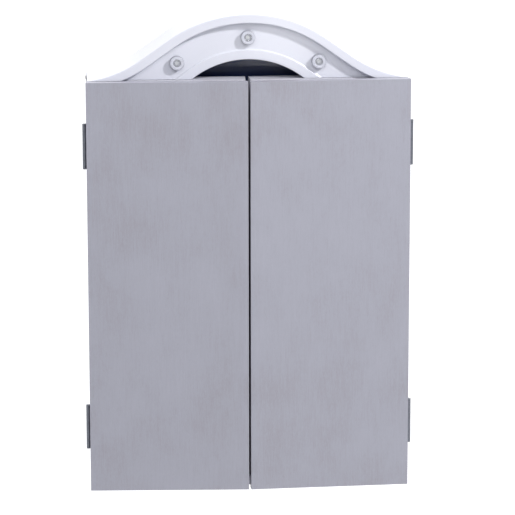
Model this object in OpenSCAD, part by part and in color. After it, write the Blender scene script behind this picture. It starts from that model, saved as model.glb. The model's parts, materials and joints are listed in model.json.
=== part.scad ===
// Wall cabinet for an electronic dart board: two tray doors, a lit arched hood, and the dart head
// inside. The origin is on the wall plane, straight behind the middle of the bull. +Z is up and
// the doors face -Y.

/* [Cabinet] */
// Width over the two closed doors
cabinet_w = 534; // [500:1:640]
// Height of the doors and side boards
door_h = 694; // [640:1:830]
// Depth of the side boards from the wall to their front edge
cabinet_d = 112; // [112:1:140]
// Height of the middle of the bull above the foot of the doors
bull_up = 395; // [380:1:450]
// Distance of the side boards from the outer edges of the doors
side_inset = 2.5; // [0:0.5:4]
// Thickness of the side boards, bottom board and top rail
board_t = 15; // [12:0.5:20]
// Thickness of the back board
back_t = 6; // [4:0.5:9]
// Distance between the wall screws across the back
wall_screw_x = 406.4; // [300:0.1:420]
// Distance between the wall screws up the back
wall_screw_z = 520; // [400:1:600]
// Radius of the wall screw holes
wall_hole_r = 3.25; // [2:0.05:4]

/* [Doors] */
// Thickness of the door panels
panel_t = 14; // [12:0.5:18]
// Gap between the two closed door panels
door_seam = 1.6; // [1:0.1:4]
// Angle that each door stands open at rest
door_ajar = 2.8; // [0:0.1:10]
// Depth of the tray frame behind the panel
tray_d = 52; // [40:1:58]
// Thickness of the tray rails and stiles
rail_t = 12; // [9:0.5:16]
// Width of the rebate along the top rail, next to the panel
rebate_w = 14; // [0:1:24]
// Depth of that rebate
rebate_d = 8; // [0:0.5:10]
// Distance of the left tray from the free edge of its panel
left_setback = 4; // [3.5:0.5:14]
// Distance of the right tray from the free edge of its panel
right_setback = 3.5; // [3.5:0.5:6]
// Room between a tray and the side board beside it
tray_side_gap = 2; // [1:0.5:5]
// Room above and below a tray
tray_end_gap = 0.6; // [0.4:0.1:3]

/* [Hinges] */
// Length of a hinge
hinge_len = 76.2; // [50:0.1:100]
// Distance from the end of the door to the hinge
hinge_inset = 70; // [40:1:120]
// Outer radius of the hinge knuckles
barrel_r = 3.2; // [2.8:0.1:4.5]
// Radius of the hinge pins
pin_r = 1.5; // [1:0.05:2]
// Thickness of the hinge leaves
leaf_t = 1.2; // [0.8:0.1:1.4]
// Gap between the closed leaves
leaf_gap = 0.6; // [0.4:0.1:1]
// Number of knuckles on a hinge
knuckles = 5; // [3:2:7]
// Radius of the hinge screw shanks
hinge_screw_r = 1.4; // [1:0.05:2]

/* [Hood] */
// Height of the arch above the doors
arch_h = 108; // [100:1:130]
// Radius of the crown of the arch
crown_r = 225; // [200:1:240]
// Slope of the straight shoulders
slope = 35; // [32:0.5:37]
// Height of the hood's feet at their tips
foot_h = 1.3; // [1:0.1:4]
// Slope of the outline at the tips of the feet
foot_slope = 6; // [4:0.5:14]
// Width of the raised outer rim
rim_w = 16; // [10:0.5:22]
// Width of the whole band, from the outline to the window
band_w = 76; // [66:1:80]
// Width of the raised lip round the window
lip_w = 16; // [8:0.5:20]
// Depth of the channel behind the rim
channel_d = 11; // [6:0.5:16]
// Height of the lip above the channel floor
lip_rise = 3; // [1:0.5:6]
// Wall thickness of the moulding
hood_wall = 3; // [2:0.5:4]

/* [Lamps] */
// Outer radius of a lamp bezel
lamp_r = 12; // [9:0.5:15]
// Height of a bezel above the channel floor
lamp_rise = 8; // [5:0.5:11]
// Distance of the side lamps from the middle
lamp_spread = 117; // [95:1:125]
// Distance of the lamps below the middle of the channel
lamp_drop = 1.5; // [0:0.5:4]
// Radius of a lamp's clear lens
lens_r = 6.5; // [5:0.25:8]
// Radius of the light diode
diode_r = 2.6; // [1.5:0.1:3]

/* [Target] */
// Radius of the bull's centre
bull_r = 8; // [6:0.5:10]
// Outer radius of the bull's ring
bull_ring_r = 19; // [16:0.5:24]
// Inner radius of the triple ring
triple_in = 108; // [95:1:115]
// Outer radius of the triple ring
triple_out = 122; // [118:1:135]
// Inner radius of the double ring
double_in = 182; // [165:1:186]
// Outer radius of the double ring
double_out = 197; // [192:1:200]
// Thickness of the spider web
web_t = 1.6; // [1.2:0.1:2.4]
// Gap round each scoring segment
segment_gap = 0.4; // [0.3:0.05:0.6]
// Travel of the bull pieces
bull_travel = 0.8; // [0.4:0.1:0.9]
// Width of the rim that carries the numbers
catch_w = 33; // [30:1:34]

/* [Controls] */
// Width of the display window
window_w = 200; // [140:1:220]
// Height of the display window
window_h = 45; // [30:1:48]
// Height of the display's middle below the bull
window_down = 276; // [270:1:285]
// Width of a button cap
button_w = 22; // [14:0.5:28]
// Height of a button cap
button_h = 12; // [8:0.5:14]
// Distance between buttons
button_pitch = 50; // [40:1:52]
// Height of the buttons' middle below the bull
button_down = 330; // [325:1:340]
// Gap round a button cap
button_gap = 0.4; // [0.3:0.05:0.6]
// Travel of a button
button_travel = 1.2; // [0.6:0.1:1.4]
// Radius of the speaker grille
grille_r = 30; // [24:1:34]
// Radius of one grille hole
grille_hole_r = 1.5; // [1:0.1:2]

/* [Hidden] */
$fn = 96;

// Cuts run this far past the face that they open
over = 1;
// Room round a screw or plug in its hole
hole_gap = 0.05;
// Room between pieces that are fitted loosely
part_gap = 0.3;
foot_z = -bull_up;
top_z = door_h - bull_up;
half_w = cabinet_w / 2;
box_half = half_w - side_inset;
inner_half = box_half - board_t;
// Depths are measured from the wall towards the viewer, so y is their negative
hinge_gap = 2 * leaf_t + leaf_gap;
axis_depth = cabinet_d + hinge_gap / 2;
panel_back = cabinet_d + hinge_gap;
panel_front = panel_back + panel_t;
tray_back = panel_back - tray_d;
face_clearance = 12;
fascia_front = tray_back - face_clearance;
fascia_t = 3;
fascia_back = fascia_front - fascia_t;
barrel_gap = 0.4;
axis_x = half_w + barrel_r + barrel_gap;
knuckle_gap = 0.3;
knuckle_len = hinge_len / knuckles;
pin_gap = 0.05;
leaf_w = board_t;
hinge_screw_count = 3;
hinge_head_r = 2.7;
hinge_head_t = 0.9;
hinge_screw_len = 11;

// Boards of the cabinet
module depth_box(x0, x1, d0, d1, z0, z1) {
    translate([x0, -d1, z0]) cube([x1 - x0, d1 - d0, z1 - z0]);
}
module y_rod(r, d0, d1) {
    translate([0, -d0, 0]) rotate([90, 0, 0]) cylinder(r = r, h = d1 - d0);
}
module both_sides() {
    children();
    mirror([1, 0, 0]) children();
}
// A flush-headed screw that starts at the origin and points along +Z; a gap makes its hole
module flush_screw(shank_r, head_r, head_t, length, gap) {
    past = gap > 0 ? over : 0;
    translate([0, 0, -past]) {
        cylinder(r = head_r + gap, h = head_t + gap + past);
        cylinder(r = shank_r + gap, h = length + gap + past);
    }
}
joint_screw_r = 2;
joint_head_r = 4;
joint_head_t = 3;
joint_screw_len = 38;
joint_screw_inset = 18;
joint_depths = [joint_screw_inset, fascia_back - joint_screw_inset];
joint_heights = [foot_z + board_t / 2, top_z - board_t / 2];
module side_screws(gap) {
    for (d = joint_depths, z = joint_heights) translate([box_half, -d, z]) rotate([0, -90, 0])
        flush_screw(joint_screw_r, joint_head_r, joint_head_t, joint_screw_len, gap);
}
hinge_low = foot_z + hinge_inset;
hinge_high = top_z - hinge_inset - hinge_len;
hinge_heights = [hinge_low, hinge_high];
screw_step = hinge_len / hinge_screw_count;
leaf_screw_x = half_w - leaf_w / 2;
module leaf_screw_places() {
    for (z = hinge_heights, i = [0 : hinge_screw_count - 1])
        translate([-leaf_screw_x, 0, z + screw_step * (i + 0.5)]) children();
}
module frame_leaf_screws(gap) {
    leaf_screw_places() translate([0, -cabinet_d - leaf_t, 0]) rotate([-90, 0, 0])
        flush_screw(hinge_screw_r, hinge_head_r, hinge_head_t, hinge_screw_len, gap);
}
module door_leaf_screws(gap) {
    leaf_screw_places() translate([0, -panel_back + leaf_t, 0]) rotate([90, 0, 0])
        flush_screw(hinge_screw_r, hinge_head_r, hinge_head_t, hinge_screw_len, gap);
}
module left_side_board() {
    difference() {
        depth_box(-box_half, -inner_half, 0, cabinet_d, foot_z, top_z);
        mirror([1, 0, 0]) side_screws(hole_gap);
        frame_leaf_screws(hole_gap);
    }
}
module side_board_left() {
    color("lightslategray") left_side_board();
}
module side_board_right() {
    color("lightslategray") mirror([1, 0, 0]) left_side_board();
}
jack_x = 180;
jack_depth = 30;
jack_r = 5.7;
module bottom_board() {
    color("lightslategray") difference() {
        depth_box(-inner_half, inner_half, 0, cabinet_d, foot_z, foot_z + board_t);
        both_sides() side_screws(hole_gap);
        translate([jack_x, -jack_depth, foot_z - over])
            cylinder(r = jack_r + hole_gap, h = board_t + 2 * over);
    }
}
hood_screw_x = [140, 230];
hood_screw_r = 2;
hood_head_r = 3.8;
hood_head_t = 2.4;
module hood_screw_holes(gap) {
    both_sides() for (x = hood_screw_x)
        translate([x, -fascia_back / 2, top_z - board_t - over])
            cylinder(r = hood_screw_r + gap, h = board_t + hood_wall + 2 * over);
}
module top_rail() {
    color("lightslategray") difference() {
        depth_box(-inner_half, inner_half, 0, fascia_back, top_z - board_t, top_z);
        both_sides() side_screws(hole_gap);
        hood_screw_holes(hole_gap);
    }
}
module back_board() {
    color("dimgray") difference() {
        depth_box(-inner_half, inner_half, 0, back_t, foot_z + board_t, top_z - board_t);
        for (x = [-1, 1], z = [-1, 1]) translate([x * wall_screw_x / 2, 0, z * wall_screw_z / 2])
            y_rod(wall_hole_r, -over, back_t + over);
    }
}
batten = 15;
fascia_screw_r = 1.6;
fascia_screw_len = 12;
fascia_head_r = 3.2;
fascia_head_t = 1.8;
fascia_screw_inset = 7.5;
fascia_screw_rows = 4;
fascia_row_step = (door_h - 2 * board_t) / fascia_screw_rows;
module fascia_screw_places() {
    both_sides() for (i = [0 : fascia_screw_rows - 1])
        translate([inner_half - fascia_screw_inset, 0, foot_z + board_t + fascia_row_step * (i + 0.5)])
            children();
}
module fascia_battens() {
    color("burlywood") difference() {
        both_sides() depth_box(inner_half - batten, inner_half, fascia_back - batten, fascia_back,
            foot_z + board_t, top_z - board_t);
        fascia_screw_places()
            y_rod(fascia_screw_r + hole_gap, fascia_back - fascia_screw_len, fascia_back + over);
    }
}

// Outline of the hood: a crown arc, straight shoulders and reversed foot arcs
arc_steps = 24;
foot_half = box_half;
crown_mid = arch_h - crown_r;
shoulder_x = crown_r * sin(slope);
shoulder_z = crown_mid + crown_r * cos(slope);
foot_r = (shoulder_z - tan(slope) * (foot_half - shoulder_x) - foot_h)
    / (cos(foot_slope) - cos(slope) - tan(slope) * (sin(slope) - sin(foot_slope)));
foot_mid_x = foot_half + foot_r * sin(foot_slope);
foot_mid_z = foot_h + foot_r * cos(foot_slope);
// Points of the right half of the outline, moved inwards by d
function half_curve(d) = concat(
    [for (i = [0 : arc_steps]) let (a = slope * i / arc_steps)
        [(crown_r - d) * sin(a), crown_mid + (crown_r - d) * cos(a)]],
    [for (i = [0 : arc_steps]) let (a = slope + (foot_slope - slope) * i / arc_steps)
        [foot_mid_x - (foot_r + d) * sin(a), foot_mid_z - (foot_r + d) * cos(a)]]);
module half_area(d) {
    curve = half_curve(d);
    polygon(concat([[0, -arch_h]], curve, [[curve[len(curve) - 1][0], -arch_h]]));
}
// The area under the outline moved inwards by d, between two heights above the doors
module under_curve(d, low = 0, high = arch_h) {
    intersection() {
        union() {
            half_area(d);
            mirror([1, 0]) half_area(d);
        }
        translate([-half_w, low]) square([2 * half_w, high - low]);
    }
}
module hood_ring(d_out, d_in) {
    difference() {
        under_curve(d_out);
        under_curve(d_in, -over);
    }
}
// Stands a flat shape up between two depths, with its base at the top of the doors
module upright(d0, d1) {
    translate([0, -d0, top_z]) rotate([90, 0, 0]) linear_extrude(d1 - d0) children();
}
hood_front = panel_back - 1;
floor_front = hood_front - channel_d;
lip_front = floor_front + lip_rise;
cover_t = 2.5;
backdrop_in = band_w - 9;
lamp_in = (rim_w + band_w - lip_w) / 2 + lamp_drop;
crown_dir = atan2(lamp_spread, sqrt(pow(crown_r - lamp_in, 2) - pow(lamp_spread, 2)));
side_lamp = crown_dir <= slope
    ? [lamp_spread, crown_mid + sqrt(pow(crown_r - lamp_in, 2) - pow(lamp_spread, 2))]
    : [lamp_spread, crown_mid + (crown_r - lamp_in) / cos(slope) - lamp_spread * tan(slope)];
lamp_places = [[0, arch_h - lamp_in], side_lamp, [-side_lamp[0], side_lamp[1]]];
lamp_bore_r = lamp_r - 3;
lamp_shank_len = 8;
bezel_wall = 1.5;
module at_lamps() {
    for (p = lamp_places) translate([p[0], 0, top_z + p[1]]) children();
}
module hood_shell() {
    color("whitesmoke") difference() {
        union() {
            upright(0, hood_front) hood_ring(0, hood_wall);
            upright(hood_front - hood_wall, hood_front) hood_ring(0, rim_w);
            upright(floor_front - hood_wall, hood_front) hood_ring(rim_w - hood_wall, rim_w);
            upright(floor_front - hood_wall, floor_front) hood_ring(rim_w - hood_wall, band_w);
            upright(floor_front - hood_wall, lip_front) hood_ring(band_w - lip_w, band_w);
            upright(fascia_front, floor_front) hood_ring(band_w - hood_wall, band_w);
            upright(cover_t, hood_front) under_curve(0, 0, hood_wall);
        }
        upright(fascia_front - over, hood_front + over) under_curve(band_w, -over);
        upright(fascia_back - part_gap, fascia_front) under_curve(backdrop_in - part_gap, -over);
        at_lamps() y_rod(lamp_bore_r + hole_gap, floor_front - 2 * hood_wall, floor_front + over);
        hood_screw_holes(hole_gap);
    }
}
module hood_back_cover() {
    color("gainsboro") upright(0, cover_t) under_curve(hood_wall);
}
seat_up = 2;
lens_gap = 0.1;
module lamp_bezels() {
    color("gainsboro") at_lamps() difference() {
        union() {
            y_rod(lamp_r, floor_front, floor_front + lamp_rise);
            y_rod(lamp_bore_r, floor_front - lamp_shank_len, floor_front + over);
        }
        y_rod(lamp_bore_r - bezel_wall, floor_front - lamp_shank_len - over, floor_front + seat_up);
        y_rod(lens_r + lens_gap, floor_front, floor_front + lamp_rise + over);
    }
}
reflector_wall = 0.8;
reflector_hole_r = diode_r + 0.5;
lens_t = 1.5;
reflector_h = lamp_rise - seat_up - lens_t;
module lamp_reflectors() {
    color("silver") at_lamps() rotate([90, 0, 0]) translate([0, 0, floor_front + seat_up])
        rotate_extrude() polygon([[reflector_hole_r, 0], [reflector_hole_r + reflector_wall, 0],
            [lens_r, reflector_h - reflector_wall], [lens_r, reflector_h],
            [lens_r - reflector_wall, reflector_h], [reflector_hole_r, reflector_wall]]);
}
module lamp_lenses() {
    color("white", 0.4) at_lamps() y_rod(lens_r, floor_front + lamp_rise - lens_t, floor_front + lamp_rise);
}
lamp_board_t = 1.6;
module lamp_boards() {
    color("seagreen") at_lamps() {
        y_rod(lamp_bore_r - bezel_wall, floor_front - 1 - lamp_board_t, floor_front - 1);
        y_rod(diode_r, floor_front - 1, floor_front + 2.5);
    }
}

// Dart head
catch_out = double_out + web_t / 2 + 1 + catch_w;
catch_in = double_out + web_t / 2 + 0.2;
skirt_t = 4;
catch_front = fascia_front + 4;
head_face = fascia_front + 1.5;
web_face = head_face + 1;
web_depth = 15;
segment_depth = 20.5;
segment_back = head_face - segment_depth;
pad_t = 2;
pad_gap = 0.2;
pad_front = segment_back - bull_travel - pad_gap;
sheet_t = 0.8;
sheet_front = pad_front - pad_t;
plate_front = sheet_front - sheet_t;
plate_t = 4;
sectors = 20;
sector = 360 / sectors;
module ring_y(r_in, r_out, d0, d1) {
    difference() {
        y_rod(r_out, d0, d1);
        y_rod(r_in, d0 - over, d1 + over);
    }
}
module catch_ring() {
    color("black") {
        ring_y(catch_in, catch_out, fascia_front, catch_front);
        ring_y(catch_in, catch_in + skirt_t, plate_front, fascia_front);
    }
}
number_t = 2;
number_w = catch_w - 8;
number_in = catch_in + 4;
module number_ring() {
    color("whitesmoke") ring_y(number_in, number_in + number_w, catch_front, catch_front + number_t);
}
module spider_web() {
    color("silver") translate([0, -web_face + web_depth, 0]) rotate([90, 0, 0]) linear_extrude(web_depth) {
        for (r = [bull_r, bull_ring_r, triple_in, triple_out, double_in, double_out]) difference() {
            circle(r + web_t / 2);
            circle(r - web_t / 2);
        }
        for (i = [0 : sectors - 1]) rotate(sector * (i + 0.5))
            translate([bull_ring_r, -web_t / 2]) square([double_out - bull_ring_r, web_t]);
    }
}
edge_gap = web_t / 2 + segment_gap;
// Flat outline of one scoring segment between two radii, clear of the web on all sides
module segment_shape(r_in, r_out) {
    near = asin(edge_gap / (r_in + edge_gap));
    far = asin(edge_gap / (r_out - edge_gap));
    steps = 6;
    polygon(concat(
        [for (i = [0 : steps]) let (a = (sector / 2 - far) * (2 * i / steps - 1))
            (r_out - edge_gap) * [sin(a), cos(a)]],
        [for (i = [0 : steps]) let (a = (sector / 2 - near) * (1 - 2 * i / steps))
            (r_in + edge_gap) * [sin(a), cos(a)]]));
}
module segment_ring(r_in, r_out) {
    for (i = [0 : sectors - 1]) rotate([0, sector * i, 0]) translate([0, -segment_back, 0])
        rotate([90, 0, 0]) linear_extrude(segment_depth) segment_shape(r_in, r_out);
}
module double_segments() {
    color("firebrick") segment_ring(double_in, double_out);
}
module outer_single_segments() {
    color("darkslategray") segment_ring(triple_out, double_in);
}
module triple_segments() {
    color("firebrick") segment_ring(triple_in, triple_out);
}
module inner_single_segments() {
    color("darkslategray") segment_ring(bull_ring_r, triple_in);
}
module bull_ring() {
    color("seagreen") ring_y(bull_r + edge_gap, bull_ring_r - edge_gap, segment_back, head_face);
}
module bull_centre() {
    color("firebrick") y_rod(bull_r - edge_gap, segment_back, head_face + 0.5);
}
module sensor_pad() {
    color("dimgray") y_rod(double_out, sheet_front, pad_front);
}
module sensor_sheet() {
    color("lightsteelblue") y_rod(double_out, plate_front, sheet_front);
}
rib_count = 12;
module target_backplate() {
    color("black") {
        y_rod(catch_in + skirt_t, plate_front - plate_t, plate_front);
        for (i = [0 : rib_count - 1]) rotate([0, 360 / rib_count * i, 0])
            translate([20, -plate_front + plate_t, -1]) cube([catch_in - 24, 6, 2]);
    }
}

// Controls
control_half = 150;
control_t = 1.6;
board_front = fascia_back - 8;
button_flange = 1.2;
button_names = 6;
button_face = fascia_front + 3;
button_back = fascia_back - 3.1;
function button_x(i) = button_pitch * (i - (button_names - 1) / 2);
grille_x = 198;
grille_z = -window_down - 12;
module rounded_box(w, h, r, d0, d1) {
    translate([0, -d0, 0]) rotate([90, 0, 0]) linear_extrude(d1 - d0) {
        square([w - 2 * r, h], center = true);
        square([w, h - 2 * r], center = true);
        for (x = [-1, 1], z = [-1, 1]) translate([x * (w / 2 - r), z * (h / 2 - r)]) circle(r);
    }
}
button_round = 3;
window_round = 2;
module button_at(i) {
    translate([button_x(i), 0, -button_down]) {
        rounded_box(button_w, button_h, button_round, button_back, button_face);
        rounded_box(button_w + 3, button_h + 3, button_round, fascia_back - button_gap - button_flange,
            fascia_back - button_gap);
    }
}
module button_power() {
    color("firebrick") button_at(0);
}
module button_start() {
    color("gainsboro") button_at(1);
}
module button_game() {
    color("gainsboro") button_at(2);
}
module button_option() {
    color("gainsboro") button_at(3);
}
module button_player() {
    color("gainsboro") button_at(4);
}
module button_score() {
    color("gainsboro") button_at(5);
}
module fascia() {
    color("midnightblue") difference() {
        union() {
            depth_box(-inner_half + part_gap, inner_half - part_gap, fascia_back, fascia_front,
                foot_z + board_t, top_z);
            upright(fascia_back, fascia_front) under_curve(backdrop_in);
        }
        y_rod(catch_in + skirt_t + 1, fascia_back - over, fascia_front + over);
        translate([0, 0, -window_down])
            rounded_box(window_w + part_gap, window_h + part_gap, window_round, fascia_back - over,
                fascia_front + over);
        for (i = [0 : button_names - 1]) translate([button_x(i), 0, -button_down])
            rounded_box(button_w + 2 * button_gap, button_h + 2 * button_gap, button_round + button_gap,
                fascia_back - over, fascia_front + over);
        translate([grille_x, 0, grille_z])
            y_rod(grille_r + part_gap, fascia_back - over, fascia_front + over);
        fascia_screw_places()
            y_rod(fascia_screw_r + hole_gap, fascia_back - over, fascia_front + over);
    }
}
module display_window() {
    color("black", 0.6) translate([0, 0, -window_down])
        rounded_box(window_w, window_h, window_round, fascia_back, fascia_front + 1);
}
module display_module() {
    color("dimgray") translate([0, 0, -window_down])
        rounded_box(window_w - 10, window_h - 4, 1, board_front, fascia_back - 0.3);
}
switch_w = 6;
switch_top = button_back - button_travel - 0.2;
module control_board() {
    color("seagreen") {
        depth_box(-control_half, control_half, board_front - control_t, board_front,
            -button_down - 12, -window_down + window_h / 2);
        for (i = [0 : button_names - 1]) translate([button_x(i), 0, -button_down])
            rounded_box(switch_w, switch_w, 0.5, board_front, switch_top);
    }
}
module speaker() {
    color("dimgray") translate([grille_x, 0, grille_z]) {
        y_rod(grille_r - 1, fascia_back - 6, fascia_back);
        y_rod(grille_r / 2, fascia_back - 14, fascia_back - 6);
    }
}
grille_rings = 4;
grille_step = (grille_r - 4) / grille_rings;
module speaker_grille() {
    color("midnightblue") translate([grille_x, 0, grille_z]) difference() {
        y_rod(grille_r, fascia_back, fascia_front + 0.8);
        y_rod(grille_hole_r, fascia_back - over, fascia_front + 2);
        for (k = [1 : grille_rings], i = [0 : 6 * k - 1]) rotate([0, 60 / k * i, 0])
            translate([grille_step * k, 0, 0]) y_rod(grille_hole_r, fascia_back - over, fascia_front + 2);
    }
}
jack_bore_r = 2.75;
jack_depth_in = 10;
module power_inlet() {
    color("black") translate([jack_x, -jack_depth, foot_z]) difference() {
        union() {
            cylinder(r = jack_r, h = board_t + 4);
            translate([-8, -8, board_t]) cube([16, 16, 3]);
        }
        translate([0, 0, -over]) cylinder(r = jack_bore_r, h = jack_depth_in + over);
    }
}
catch_block_w = 30;
catch_block_h = 12;
catch_x = 25;
catch_low = foot_z + board_t + 0.5;
strike_t = 1;
magnet_gap = 0.5;
module magnet_catches() {
    color("saddlebrown") both_sides() depth_box(catch_x, catch_x + catch_block_w, fascia_front,
        tray_back - strike_t - magnet_gap, catch_low, catch_low + catch_block_h);
}

// Screws that stay with the cabinet
module cabinet_screws() {
    color("silver") both_sides() side_screws(0);
}
module fascia_screws() {
    color("silver") fascia_screw_places() {
        y_rod(fascia_screw_r, fascia_back - fascia_screw_len + 0.5, fascia_front);
        y_rod(fascia_head_r, fascia_front, fascia_front + fascia_head_t);
    }
}
module hood_screws() {
    color("silver") both_sides() for (x = hood_screw_x)
        translate([x, -fascia_back / 2, top_z - board_t]) {
            cylinder(r = hood_screw_r, h = board_t + hood_wall);
            translate([0, 0, -hood_head_t]) cylinder(r = hood_head_r, h = hood_head_t);
        }
}
module hinge_frame_screws() {
    color("silver") both_sides() frame_leaf_screws(0);
}

// Left door pieces, in the closed pose; the right door mirrors them
module ajar() {
    translate([-axis_x, -axis_depth, 0]) rotate([0, 0, -door_ajar])
        translate([axis_x, axis_depth, 0]) children();
}
tray_side = inner_half - tray_side_gap;
tray_low = foot_z + board_t + tray_end_gap;
tray_high = top_z - tray_end_gap;
module door_panel() {
    difference() {
        depth_box(-half_w, -door_seam / 2, panel_back, panel_front, foot_z, top_z);
        door_leaf_screws(hole_gap);
    }
}
module tray_rails(setback) {
    free = door_seam / 2 + setback;
    depth_box(-tray_side, -free, tray_back, panel_back, tray_low, tray_low + rail_t);
    depth_box(-tray_side, -free, tray_back, panel_back - rebate_w, tray_high - rail_t, tray_high);
    depth_box(-tray_side, -free, panel_back - rebate_w, panel_back,
        tray_high - rail_t, tray_high - rebate_d);
}
module tray_stiles(setback) {
    free = door_seam / 2 + setback;
    depth_box(-tray_side, -tray_side + rail_t, tray_back, panel_back,
        tray_low + rail_t, tray_high - rail_t);
    depth_box(-free - rail_t, -free, tray_back, panel_back, tray_low + rail_t, tray_high - rail_t);
}
rack_w = 126;
rack_d = 30;
rack_t = 8;
rack_up = 60;
rack_plate_t = 3;
rack_plate_h = 14;
rack_mid = -inner_half / 2 - rail_t / 2;
dart_hole_r = 4;
dart_pitch = 40;
dart_count = 3;
module dart_rack() {
    difference() {
        depth_box(rack_mid - rack_w / 2, rack_mid + rack_w / 2, panel_back - rack_d, panel_back,
            rack_up, rack_up + rack_t);
        for (i = [0 : dart_count - 1])
            translate([rack_mid + dart_pitch * (i - (dart_count - 1) / 2), -panel_back + rack_d * 0.55,
                rack_up - over])
                cylinder(r = dart_hole_r, h = rack_t + 2 * over);
    }
    depth_box(rack_mid - rack_w / 2, rack_mid + rack_w / 2, panel_back - rack_plate_t, panel_back,
        rack_up + rack_t, rack_up + rack_t + rack_plate_h);
}
module strike_plate() {
    depth_box(-catch_x - catch_block_w, -catch_x, tray_back - strike_t, tray_back,
        catch_low, catch_low + catch_block_h - 1);
}
// One leaf with its knuckles: odd knuckles stay with the frame, even ones with the door
module leaf(first, back, bore_gap) {
    for (z = hinge_heights) difference() {
        union() {
            depth_box(-axis_x, -half_w + leaf_w, back, back + leaf_t, z, z + hinge_len);
            for (k = [first : 2 : knuckles - 1])
                translate([-axis_x, -axis_depth, z + knuckle_len * k + knuckle_gap / 2])
                    cylinder(r = barrel_r, h = knuckle_len - knuckle_gap);
        }
        for (k = [1 - first : 2 : knuckles - 1])
            translate([-axis_x, -axis_depth, z + knuckle_len * k - knuckle_gap / 2])
                cylinder(r = barrel_r + barrel_gap, h = knuckle_len + knuckle_gap);
        translate([-axis_x, -axis_depth, z - over]) cylinder(r = pin_r + bore_gap, h = hinge_len + 2 * over);
    }
}
module frame_leaves() {
    difference() {
        leaf(0, cabinet_d, 0);
        frame_leaf_screws(hole_gap);
    }
}
module door_leaves() {
    difference() {
        leaf(1, panel_back - leaf_t, pin_gap);
        door_leaf_screws(hole_gap);
    }
}
module hinge_pins() {
    for (z = hinge_heights) translate([-axis_x, -axis_depth, z]) cylinder(r = pin_r, h = hinge_len);
}
module left_door_panel() {
    color("darkgray") ajar() door_panel();
}
module left_tray_rails() {
    color("darkgray") ajar() tray_rails(left_setback);
}
module left_tray_stiles() {
    color("darkgray") ajar() tray_stiles(left_setback);
}
module left_dart_rack() {
    color("black") ajar() dart_rack();
}
module left_strike_plate() {
    color("silver") ajar() strike_plate();
}
module left_door_leaves() {
    color("dimgray") ajar() door_leaves();
}
module left_door_screws() {
    color("silver") ajar() door_leaf_screws(0);
}
module left_frame_leaves() {
    color("dimgray") frame_leaves();
}
module left_hinge_pins() {
    color("dimgray") hinge_pins();
}
module right_door_panel() {
    color("darkgray") mirror([1, 0, 0]) ajar() door_panel();
}
module right_tray_rails() {
    color("darkgray") mirror([1, 0, 0]) ajar() tray_rails(right_setback);
}
module right_tray_stiles() {
    color("darkgray") mirror([1, 0, 0]) ajar() tray_stiles(right_setback);
}
module right_dart_rack() {
    color("black") mirror([1, 0, 0]) ajar() dart_rack();
}
module right_strike_plate() {
    color("silver") mirror([1, 0, 0]) ajar() strike_plate();
}
module right_door_leaves() {
    color("dimgray") mirror([1, 0, 0]) ajar() door_leaves();
}
module right_door_screws() {
    color("silver") mirror([1, 0, 0]) ajar() door_leaf_screws(0);
}
module right_frame_leaves() {
    color("dimgray") mirror([1, 0, 0]) frame_leaves();
}
module right_hinge_pins() {
    color("dimgray") mirror([1, 0, 0]) hinge_pins();
}

side_board_left();
side_board_right();
bottom_board();
top_rail();
back_board();
fascia_battens();
fascia();
catch_ring();
number_ring();
spider_web();
double_segments();
outer_single_segments();
triple_segments();
inner_single_segments();
bull_ring();
bull_centre();
sensor_pad();
sensor_sheet();
target_backplate();
control_board();
display_module();
display_window();
speaker();
speaker_grille();
power_inlet();
button_power();
button_start();
button_game();
button_option();
button_player();
button_score();
hood_shell();
hood_back_cover();
lamp_bezels();
lamp_reflectors();
lamp_lenses();
lamp_boards();
magnet_catches();
cabinet_screws();
fascia_screws();
hood_screws();
left_door_panel();
left_tray_rails();
left_tray_stiles();
left_dart_rack();
left_strike_plate();
left_door_leaves();
left_frame_leaves();
left_hinge_pins();
left_door_screws();
right_door_panel();
right_tray_rails();
right_tray_stiles();
right_dart_rack();
right_strike_plate();
right_door_leaves();
right_frame_leaves();
right_hinge_pins();
right_door_screws();
hinge_frame_screws();
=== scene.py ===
import json
import math

import bmesh
import bpy
from mathutils import Matrix, Vector


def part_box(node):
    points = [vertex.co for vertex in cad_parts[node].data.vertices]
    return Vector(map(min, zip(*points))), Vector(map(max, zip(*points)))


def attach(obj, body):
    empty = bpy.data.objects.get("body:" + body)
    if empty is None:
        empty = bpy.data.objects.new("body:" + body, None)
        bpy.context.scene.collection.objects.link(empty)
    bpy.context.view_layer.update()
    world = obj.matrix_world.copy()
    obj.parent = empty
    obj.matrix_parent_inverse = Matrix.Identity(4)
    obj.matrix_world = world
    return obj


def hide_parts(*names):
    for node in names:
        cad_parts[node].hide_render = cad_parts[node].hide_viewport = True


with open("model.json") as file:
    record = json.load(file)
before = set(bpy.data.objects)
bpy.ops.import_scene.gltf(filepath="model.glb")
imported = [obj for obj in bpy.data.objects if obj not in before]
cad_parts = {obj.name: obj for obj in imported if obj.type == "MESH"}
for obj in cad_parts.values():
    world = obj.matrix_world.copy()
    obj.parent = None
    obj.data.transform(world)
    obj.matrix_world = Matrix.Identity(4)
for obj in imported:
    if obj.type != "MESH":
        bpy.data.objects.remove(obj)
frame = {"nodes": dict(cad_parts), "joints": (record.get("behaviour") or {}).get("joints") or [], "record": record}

mm = 0.001
nodes = frame["nodes"]
joints = {joint["name"]: joint for joint in frame["joints"]}
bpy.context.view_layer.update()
print("frame loaded with", len(nodes), "nodes")


# ---- shader and node helpers

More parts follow.
